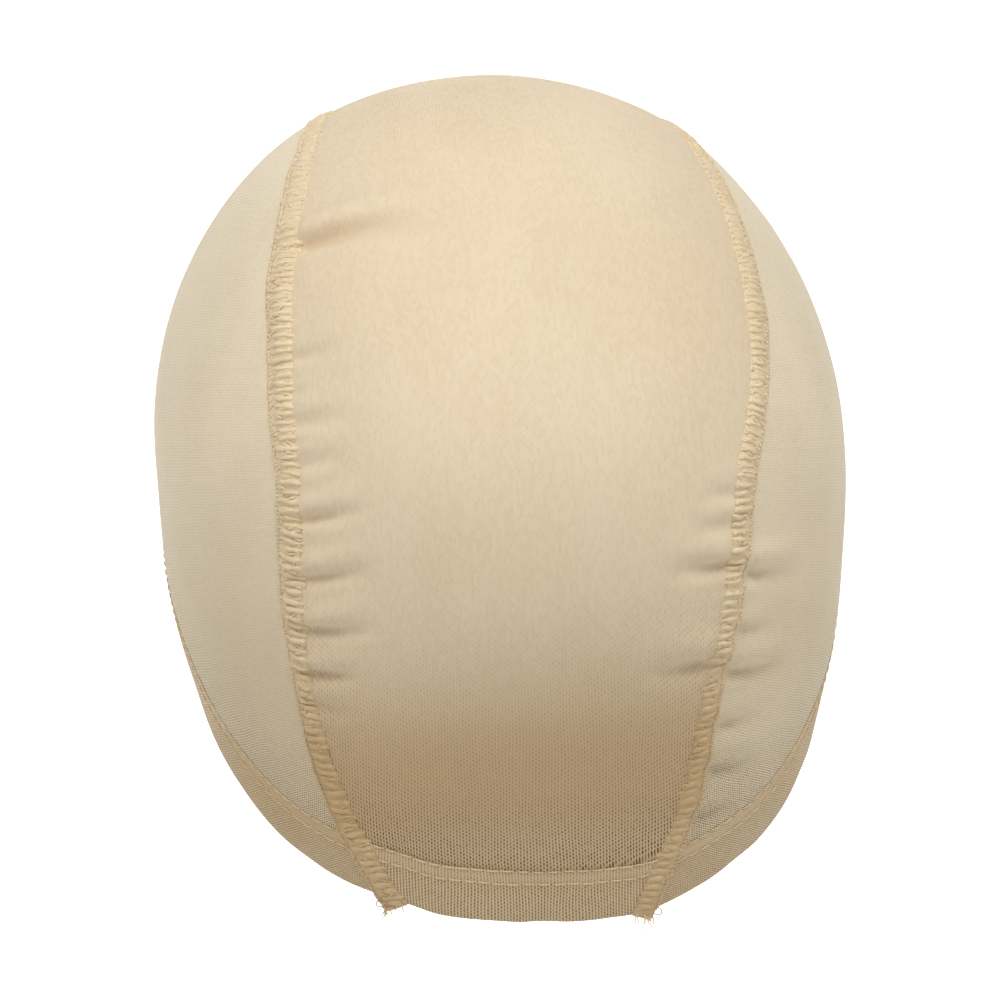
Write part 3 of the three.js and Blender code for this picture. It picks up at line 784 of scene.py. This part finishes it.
def hem_lift(bearing, depth, u):
    """Rows of stitches hold the layers down, and the free edge is a little wavy."""
    lift = np.zeros(np.broadcast(bearing, depth).shape)
    for row in STITCH_ROWS:
        lift -= 0.07 * np.exp(-((depth - row) / 0.6) ** 2)
    lift += 0.12 * np.exp(-((depth - 4.0) / 3.0) ** 2)
    lift += 0.14 * broad(u / 9, 3.0) * np.exp(-depth / 5)
    return lift


def hem(name, bearing_at, uv_of, material):
    """bearing_at(share, depth) gives the bearing of a point along this hem."""
    profile = hem_profile()
    count = 150 // FULL if "left" in name or "right" in name else 70 // FULL
    share = np.linspace(0, 1, count)[:, None]
    depth, lift = profile[None, :, 0], profile[None, :, 1]
    bearing = bearing_at(share, np.clip(depth, 0, None))
    p = at_height(bearing, rim_height(bearing, depth))
    u = np.radians(bearing) * 75
    wave = 0.16 * broad(u / 7, 8.0) * np.exp(-np.clip(depth, 0, None) / 3)
    n = shell_normal(p)
    outer = p + n * (lift + hem_lift(bearing, depth, u))[..., None]
    outer[..., 2] += wave
    # A thin layer inside the folded section, so that the hem is two layers and a fold.
    section = unit(np.cross(np.gradient(outer, axis=0), np.gradient(outer, axis=1)))
    flip = np.sign(np.sum(section[:, 3] * n[:, 3], axis=-1)).mean()
    section = section * (1 if flip > 0 else -1)
    inner = outer - section * 0.42
    verts = np.concatenate([outer.reshape(-1, 3), inner.reshape(-1, 3)])
    uvp = uv_of(p, bearing, depth)
    rows, cols = p.shape[:2]
    grid = outer
    i, j = rows // 2, 4
    turned = float(np.dot(np.cross(grid[i, j + 1] - grid[i, j], grid[i + 1, j] - grid[i, j]), n[i, j])) < 0
    faces = wall_faces(rows, cols, turned)
    two = lambda a: np.concatenate([a.ravel()] * 2)
    op = np.clip(openness(p) * 0.85 + 0.05, 0, 1) * (1 - 0.5 * np.exp(-((depth - 10.8) / 1.4) ** 2)) + 0 * bearing
    # The hems carry the painted shade of the cap as well.
    obj = new_piece(name, verts, faces, material, uv=np.concatenate([uvp.reshape(-1, 2)] * 2),
                    attributes={"open": two(op), "painted_shade": two(painted_shade(p))}, flat_tail=rim_count(p.shape[:2]))
    return obj


def spine_length():
    s = np.linspace(5, 248, 500)
    p = at_station(np.zeros_like(s), s)
    step = np.linalg.norm(np.diff(p, axis=0), axis=-1) * drawn((p[1:, 2] + p[:-1, 2]) / 2)
    return s, np.concatenate([[0], np.cumsum(step)])


SPINE_S, SPINE_L = spine_length()
panel_start = float(end_station(lambda st: at_station(np.zeros(1), st), HEM_DEPTH, "front", (1,))[0])
panel_end = float(end_station(lambda st: at_station(np.zeros(1), st), HEM_DEPTH, "back", (1,))[0])
SPINE_ZERO = float(np.interp(panel_start, SPINE_S, SPINE_L))


def center_uv(p, bearing, depth):
    across = np.degrees(np.arcsin(np.clip((p - CENTRE)[..., 0] / np.linalg.norm(p - CENTRE, axis=-1), -1, 1)))
    return np.stack([np.radians(across) * np.linalg.norm(p - CENTRE, axis=-1),
                     np.interp(station_of(p), SPINE_S, SPINE_L) - SPINE_ZERO], -1)


def span_bearing(end):
    """Bearings across the end of the centre panel, from the right joint to the left."""
    def at(share, depth):
        d = np.unique(np.round(np.asarray(depth, float), 3))
        lo = -end_bearing(-1, d, 0.0, end)
        hi = end_bearing(1, d, 0.0, end)
        lo, hi = np.interp(depth, d, lo), np.interp(depth, d, hi)
        if end == "front":
            hi = hi - 360        # the way round through the front
            return lo + (hi - lo) * share
        return lo + (hi - lo) * share
    return at


def side_bearing(side):
    def at(share, depth):
        d = np.unique(np.round(np.asarray(depth, float), 3))
        a = end_bearing(side, d, 0.0, "front")
        b = end_bearing(side, d, 0.0, "back")
        return side * (np.interp(depth, d, a) * (1 - share) + np.interp(depth, d, b) * share)
    return at


def wrapped(bearing):
    return (bearing + 180) % 360 - 180


_edge_height, _rim_height, _at_height = edge_height, rim_height, at_height
edge_height = lambda b: _edge_height(wrapped(b))
rim_height = lambda b, d: _edge_height(wrapped(b)) + d * np.interp(wrapped(b), RIM_BEARINGS, RIM_RATE)

hems = {
    "hem_back": hem("hem_back_net", span_bearing("back"), center_uv, NET_HEM),
    "hem_front": hem("hem_front_net", span_bearing("front"), center_uv, NET_HEM),
    "hem_left": hem("hem_left_net", side_bearing(1), lambda p, b, d: flat_side(p, 1), NET_HEM),
    "hem_right": hem("hem_right_net", side_bearing(-1), lambda p, b, d: flat_side(p, -1), NET_HEM),
}
for node_name, obj in hems.items():
    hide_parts(node_name)

# ------------------------------------------------------------------ hem stitches
def hem_stitches():
    tracks, radii = [], []
    r = np.random.default_rng(31)
    bearings = np.linspace(-180, 180, 2001)
    u = np.linspace(0, 1, 7)
    for row in STITCH_ROWS:
        line = rim_point(bearings, row)
        length = np.concatenate([[0], np.cumsum(np.linalg.norm(np.diff(line, axis=0), axis=-1))])
        at, total = 0.0, length[-1]
        while at < total - 3.2:
            long = 2.6 + r.uniform(-0.18, 0.18)
            b = np.interp(at + long * u, length, bearings)
            tracks.append((b, np.full_like(b, row + r.uniform(-0.10, 0.10)), -0.10 + 0.24 * np.sin(np.pi * u) ** 0.5))
            radii.append(0.175 * (0.75 + 0.25 * np.sin(np.pi * u)))
            at += long + r.uniform(0.35, 0.65)
    bearing, depth, lift = (np.concatenate([t[k] for t in tracks]) for k in range(3))
    p = rim_point(bearing, depth)
    p = p + shell_normal(p) * lift[:, None]
    return tubes("hem_stitches", np.split(p, len(tracks)), radii, 6, STITCH)


stitches = hem_stitches()

# ------------------------------------------------------------------ overlocked seams
STITCH_PITCH = 1.82


def seam(side):
    name = "left" if side > 0 else "right"
    front, back = (float(end_station(lambda st: beside_joint(side, st, 0.0), 0.1, e, (1,))[0]) for e in ("front", "back"))
    fine_s = np.linspace(front, back, 1600)
    base = beside_joint(side, fine_s, 0.0)
    length = np.concatenate([[0], np.cumsum(np.linalg.norm(np.diff(base, axis=0), axis=-1))])
    total = length[-1]
    station_at = lambda l: np.interp(l, length, fine_s)
    low_at = lambda l: np.clip((-118 - np.interp(l, length, base[:, 2])) / 38, 0, 1)
    r = np.random.default_rng(41 if side > 0 else 42)
    # Pulled narrow in some places and left wide in others.
    usual = ALLOWANCE_WIDTH
    widths = ((0, 120, 140, 200, 207, 212, 219, 225, 240), (5.5, 5.6, 6.5, 6.4, 5.0, 4.6, 5.2, 5.7, 5.9)) if side > 0 \
        else ((0, 120, 140, 195, 202, 208, 213, 219, 225, 234, 240), (5.2, 5.3, 5.6, 5.5, 5.1, 4.9, 4.7, 4.5, 4.8, 5.3, 5.3))
    width_at = lambda l: np.interp(station_at(l), *widths) + 0.34 * wander(l / 11, 5.0 * side + 20) + 0.22 * wander(l / 3.1, 9.0)
    joint_wave = lambda l: 0.22 * wander(l / 2.4, 71.0 + side) + 0.16 * wander(l / 7.0, 31.0 + side)
    # The machine fed the cloth unevenly, so the bars of thread are not evenly spaced.
    fed = lambda l: l + 0.55 * wander(l / 5.1, 13.0 + side) + 0.16 * wander(l / 1.9, 17.0 + side)
    table = np.linspace(-8, total + 8, 6000)
    unfed = lambda q: np.interp(q, np.maximum.accumulate(fed(table)), table)
    slant = lambda l: 0.8 + (0.7 if side > 0 else 0.5) * low_at(l) + 0.3 * wander(l / 8.3, 23.0 + side)

    def bars(l, inside):
        """1 on the crest of a bar of thread, 0 in the gap to the next."""
        turn = fed(l - slant(l) * (1 - inside)) / STITCH_PITCH
        return (0.5 + 0.5 * np.cos(2 * np.pi * turn)) ** 0.4

    def place(l, share, extra):
        """A point over the allowance: share runs from the joint to the free edge."""
        st = station_at(l)
        out = joint_wave(l) * (1 - share) + width_at(l) * share
        p = beside_joint(side, st, out)
        inside = np.clip(share, 0, 1)
        arch = np.sin(np.pi * np.clip(inside, 0.015, 0.985))
        plump = np.where(inside < 0.5, arch ** 1.0, arch ** 0.6)
        swell = 0.72 + 0.20 * wander(l / 6.5, 3.0 * side + 50) + 0.14 * wander(l / 2.3, 60.0)
        swell = swell * np.interp(st, (0, 118, 150), (0.62, 0.62, 1.0))
        strong = np.clip((st - 112) / 44, 0.25, 1) * (1 if side > 0 else 0.7) * (1 + 0.5 * wander(l / 3.7, 44.0))
        across = bell(np.clip((inside - 0.42) / 0.46, -1, 1)) ** 0.5
        gather = 0.18 * strong * across * (bars(l, inside) - 0.7)
        groove = -0.02 * np.exp(-((inside - 0.83) / 0.05) ** 2)
        ends = np.clip((total - l) / 4, 0.45, 1) * (1 - 0.25 * low_at(l))
        height = -0.05 + (plump * swell + gather + groove) * ends + seam_drop(name, st, np.clip(out / BAND, 0, 1))
        return p + shell_normal(p) * (height + extra)[..., None], p

    # The two raw edges, rolled together and gathered by the thread.
    rows = int(total / 0.24) // FULL
    l, w = (a.copy() for a in np.broadcast_arrays(np.linspace(0, total, rows)[:, None], np.linspace(0, 1, 17)[None]))
    outer, p = place(l, w, np.zeros_like(l))
    n = shell_normal(p)
    lift = np.sum((outer - p) * n, axis=-1)
    uv = np.stack([w * usual, l], -1)
    # Painted shade: darker in the gaps between the bars of thread, added to the painted shade of the cap.
    shade = np.clip(painted_shade(p) + 0.36 * (1 - bars(l, w)) * bell(np.clip((w - 0.45) / 0.55, -1, 1)) * np.clip((station_at(l) - 112) / 44, 0.2, 1), 0, 1)
    body = cloth(f"seam_{name}_allowance", p, n, lift, np.full_like(lift, -0.14) + np.minimum(lift - 0.4, 0.0), uv,
                 {"open": np.full(lift.shape, 0.22), "painted_shade": shade}, NET_ALLOWANCE)
    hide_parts(f"seam_{name}")

    tracks, radii = [], []
    count = int(total / STITCH_PITCH)
    u = np.linspace(0, 1, 9)
    loop = np.linspace(0, 2 * np.pi, 11)
    for k in range(1, count):
        crest = unfed(k * STITCH_PITCH)
        if crest > total - 1.0:
            break
        lean = slant(crest + 0.5)
        along = crest + lean * (1 - u)
        for _ in range(3):
            along = crest + slant(along) * (1 - u)
        calm = 0.30 * (1 - np.clip((station_at(crest) - 112) / 44, 0, 1)) + 0.10 * low_at(crest)
        # plump bar of thread, lying on its crest from over the joint towards the free edge
        begin, reach = r.uniform(-0.13, 0.02), r.uniform(0.64, 0.92)
        askew = r.uniform(-0.55, 0.55)
        kink = r.uniform(-0.22, 0.22) * np.sin(2 * np.pi * (u * r.uniform(0.8, 1.6) + r.uniform(0, 1)))
        thick = r.uniform(0.52, 0.82) if side > 0 else r.uniform(0.44, 0.68)
        lumps = 1 + 0.17 * np.sin(2 * np.pi * (u * r.uniform(1.0, 2.2) + r.uniform(0, 1)))
        tracks.append((along + r.uniform(-0.18, 0.18) + askew * (u - 0.5) + kink, begin + (reach - begin) * u,
                       0.08 - 0.60 * thick - calm + r.uniform(-0.05, 0.05) + 0.12 * np.sin(np.pi * u)))
        radii.append(thick * (0.58 + 0.42 * np.sin(np.pi * u) ** 0.6) * lumps)
        # short crossing threads, lying every way over the bars
        for _ in range(3 if side > 0 else 2):
            aim = r.uniform(-1.0, 1.0)
            half = r.uniform(0.45, 0.95)
            bow = r.uniform(-0.30, 0.30) * np.sin(np.pi * u)
            tracks.append((crest + r.uniform(-0.9, 0.9) + half * math.sin(aim) * (2 * u - 1) + bow, r.uniform(0.10, 0.80) + half / 5.5 * math.cos(aim) * (2 * u - 1),
                           r.uniform(-0.02, 0.08) - 0.7 * calm + 0.10 * np.sin(np.pi * u)))
            radii.append(r.uniform(0.17, 0.30) * (0.6 + 0.4 * np.sin(np.pi * u)))
        # thin thread on to the chain
        tracks.append((crest + 0.15 * np.sin(np.pi * u), 0.70 + 0.28 * u, 0.02 + 0.05 * np.sin(np.pi * u)))
        radii.append(0.12)
        # beads of the chain along the free edge
        for ahead in (0.05, 0.96):
            far = 0.945 + r.uniform(-0.025, 0.025)
            tracks.append((crest + ahead + 0.30 * np.cos(loop + 0.5), far + 0.055 * np.sin(loop), 0.05 + r.uniform(-0.05, 0.06) + 0.04 * np.cos(loop)))
            radii.append(r.uniform(0.23, 0.31))
        # small turn of thread that pulls the joint down
        tracks.append((crest + lean + 0.36 * np.cos(loop), 0.04 + 0.045 * np.sin(loop), 0.02 + 0.10 * np.sin(loop)))
        radii.append(0.17 if side > 0 else 0.23)
    at, _ = place(np.clip(np.concatenate([t[0] for t in tracks]), 0, total),
                  np.concatenate([t[1] for t in tracks]), np.concatenate([t[2] for t in tracks]))
    paths = np.split(at, np.cumsum([len(t[0]) for t in tracks])[:-1])
    thread = tubes(f"seam_{name}_threads", paths, radii, 6, THREAD)
    return body, thread


seams = {side: seam(side) for side in (1, -1)}

# ------------------------------------------------------------------ loose thread ends
def thread_ends():
    """Cut tails of the looper threads below the foot of each seam."""
    r = np.random.default_rng(51)
    paths, radii = [], []
    down = np.array([0.0, 0.0, -1.0])
    u = np.linspace(0, 1, 10)[:, None]
    for side in (1, -1):
        foot = float(end_station(lambda st: beside_joint(side, st, 0.0), 0.1, "back", (1,))[0])
        for k in range(9):
            root = beside_joint(side, np.array(foot - 0.35), np.array(r.uniform(0.3, 5.0)))
            n = shell_normal(root[None])[0]
            out = beside_joint(side, np.array(foot), np.array(4.0)) - beside_joint(side, np.array(foot), np.array(3.0))
            long = r.uniform(1.2, 3.0)
            heading = unit(down * r.uniform(0.5, 1.0) + out * r.uniform(-0.5, 1.3))
            bend = out * r.uniform(-1.0, 1.0) + n * r.uniform(-0.2, 0.3)
            paths.append(root + n * (0.45 + 0.25 * u) + heading * long * u + bend * u * u * long * 0.5)
            radii.append(np.linspace(0.16, 0.10, 10))
        # one longer thread that curls back on itself
        root = beside_joint(side, np.array(foot - 1.2), np.array(4.9))
        n = shell_normal(root[None])[0]
        out = unit(beside_joint(side, np.array(foot), np.array(6.0)) - beside_joint(side, np.array(foot), np.array(3.0)))
        a = np.linspace(0, 1.45 * np.pi, 16)[:, None]
        paths.append(root + n * 0.45 + out * (1.1 * np.sin(a)) + down * (0.9 * (1 - np.cos(a)) * 0.9))
        radii.append(np.linspace(0.16, 0.12, 16))
    return tubes("thread_ends", paths, radii, 6, THREAD)


ends = thread_ends()

# ------------------------------------------------------------------ floor
def floor():
    """A pale sweep: floor, then a wide curve up into a wall behind."""
    profile = [(2.6, -0.30)] + [(-1.2 - 1.0 * math.sin(a), 0.70 - 1.0 * math.cos(a)) for a in np.linspace(0, math.pi / 2, 16)] + [(-2.2, 3.2)]
    verts = [(x, y, z) for x in (-3.2, 3.2) for y, z in profile]
    n = len(profile)
    faces = [(i, i + 1, n + i + 1, n + i) for i in range(n - 1)]
    mesh = bpy.data.meshes.new("floor")
    mesh.from_pydata(verts, [], faces)
    mesh.polygons.foreach_set("use_smooth", [True] * len(faces))
    m = bpy.data.materials.new("pale_floor")
    m.use_nodes = True
    b = m.node_tree.nodes["Principled BSDF"]
    b.inputs["Base Color"].default_value = (0.8, 0.8, 0.8, 1)
    b.inputs["Roughness"].default_value = 0.9
    b.inputs["Specular IOR Level"].default_value = 0.1
    mesh.materials.append(m)
    obj = bpy.data.objects.new("floor", mesh)
    bpy.context.scene.collection.objects.link(obj)


floor()
